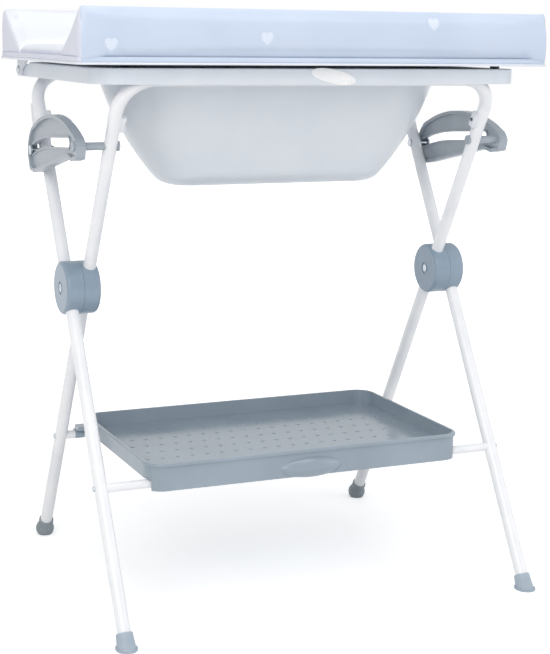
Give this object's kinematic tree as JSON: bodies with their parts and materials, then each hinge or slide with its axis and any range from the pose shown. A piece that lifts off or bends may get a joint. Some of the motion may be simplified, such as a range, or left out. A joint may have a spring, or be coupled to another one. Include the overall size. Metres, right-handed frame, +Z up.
{
  "type": "changing table with bathtub",
  "caption": "Folding changing table: a padded two-walled mat on a hinged board over a baby bathtub, on crossed tube legs with hubs, lock handles and a perforated tray.",
  "frame": {"origin": "on the floor, at the middle of the box that the whole table fills; the hub axis lies 13 mm behind it, 523 mm up", "axes": "+X along the length of the mat to the right as seen from the front, +Y from the front to the rear (the hinge side), +Z up"},
  "size_m": [0.82, 0.6313, 0.989],
  "materials": {
    "white_tube": "satin powder coat",
    "zinc_fastener": "satin",
    "hub_grey": "satin",
    "foot_light_grey": "matte",
    "foot_dark_grey": "matte",
    "handle_grey": "satin",
    "tub_white": "soft gloss",
    "clip_white": "soft gloss",
    "drain_white": "soft gloss",
    "bumper_grey": "matte",
    "board_white": "satin",
    "mat_vinyl": "soft sheen",
    "tray_grey_blue": "satin"
  },
  "bodies": {
    "outer_frame": {"outer_frame_tube": "white_tube", "front_cross_tube": "white_tube", "front_cross_screws": "zinc_fastener", "hub_outer_left": "hub_grey", "hub_outer_right": "hub_grey", "hub_pivot_bolt_left": "zinc_fastener", "hub_pivot_bolt_right": "zinc_fastener", "front_foot_left": "foot_light_grey", "front_foot_right": "foot_light_grey", "handle_guide_pin_left": "zinc_fastener", "handle_guide_pin_right": "zinc_fastener", "outer_leg_clips": "clip_white", "outer_clip_screws": "bumper_grey", "rear_leg_brackets": "clip_white"},
    "inner_frame": {"inner_frame_tube": "white_tube", "rear_cross_tube": "white_tube", "rear_cross_screws": "zinc_fastener", "hub_inner_left": "hub_grey", "hub_inner_right": "hub_grey", "rear_foot_left": "foot_dark_grey", "rear_foot_right": "foot_dark_grey", "handle_pivot_rod_left": "handle_grey", "handle_pivot_rod_right": "handle_grey", "inner_leg_clips": "clip_white", "inner_clip_screws": "bumper_grey"},
    "handle_left": {"lock_handle_left": "handle_grey"},
    "handle_right": {"lock_handle_right": "handle_grey"},
    "tub": {"tub": "tub_white", "tub_rim": "tub_white", "tub_hinge_clips": "tub_white", "drain_ring": "drain_white", "mat_hinge_pin_left": "zinc_fastener", "mat_hinge_pin_right": "zinc_fastener"},
    "plug": {"drain_plug": "bumper_grey"},
    "mat": {"mat_board": "board_white", "board_bumpers": "bumper_grey", "mat_hinge_arm_left": "clip_white", "mat_hinge_arm_right": "clip_white", "mat_pad": "mat_vinyl", "mat_front_wall": "mat_vinyl", "mat_rear_wall": "mat_vinyl"},
    "tray": {"tray": "tray_grey_blue", "tray_bearings": "tray_grey_blue", "tray_saddles": "tray_grey_blue"}
  },
  "joints": [
    {"name": "frame_fold", "type": "hinge", "parent": "outer_frame", "child": "inner_frame", "pos_m": [0, 0.013, 0.523], "axis": [-1, 0, 0], "range_deg": [0, 25]},
    {"name": "tub_tilt", "type": "hinge", "parent": "outer_frame", "child": "tub", "pos_m": [0, 0.22235, 0.877], "axis": [-1, 0, 0], "range_deg": [0, 86.25]},
    {"name": "tray_tilt", "type": "hinge", "parent": "outer_frame", "child": "tray", "pos_m": [0, -0.16465, 0.2226], "axis": [1, 0, 0], "range_deg": [0, 42.5]},
    {"name": "handle_swing_left", "type": "hinge", "parent": "inner_frame", "child": "handle_left", "pos_m": [-0.3845, -0.12506, 0.77004], "axis": [1, 0, 0], "range_deg": [0, 5]},
    {"name": "handle_swing_right", "type": "hinge", "parent": "inner_frame", "child": "handle_right", "pos_m": [0.3845, -0.12506, 0.77004], "axis": [1, 0, 0], "range_deg": [0, 5]},
    {"name": "mat_lift", "type": "hinge", "parent": "tub", "child": "mat", "pos_m": [0, 0.246, 0.88], "axis": [-1, 0, 0], "range_deg": [0, 80]},
    {"name": "plug_pull", "type": "slide", "parent": "tub", "child": "plug", "axis": [0, 0, 1], "range_m": [0, 0.03]}
  ],
  "couplings": [
    {"joint": "tub_tilt", "follows": "frame_fold", "ratio": 3.45},
    {"joint": "tray_tilt", "follows": "frame_fold", "ratio": 1.7},
    {"joint": "handle_swing_left", "follows": "frame_fold", "ratio": 0.2},
    {"joint": "handle_swing_right", "follows": "frame_fold", "ratio": 0.2}
  ]
}
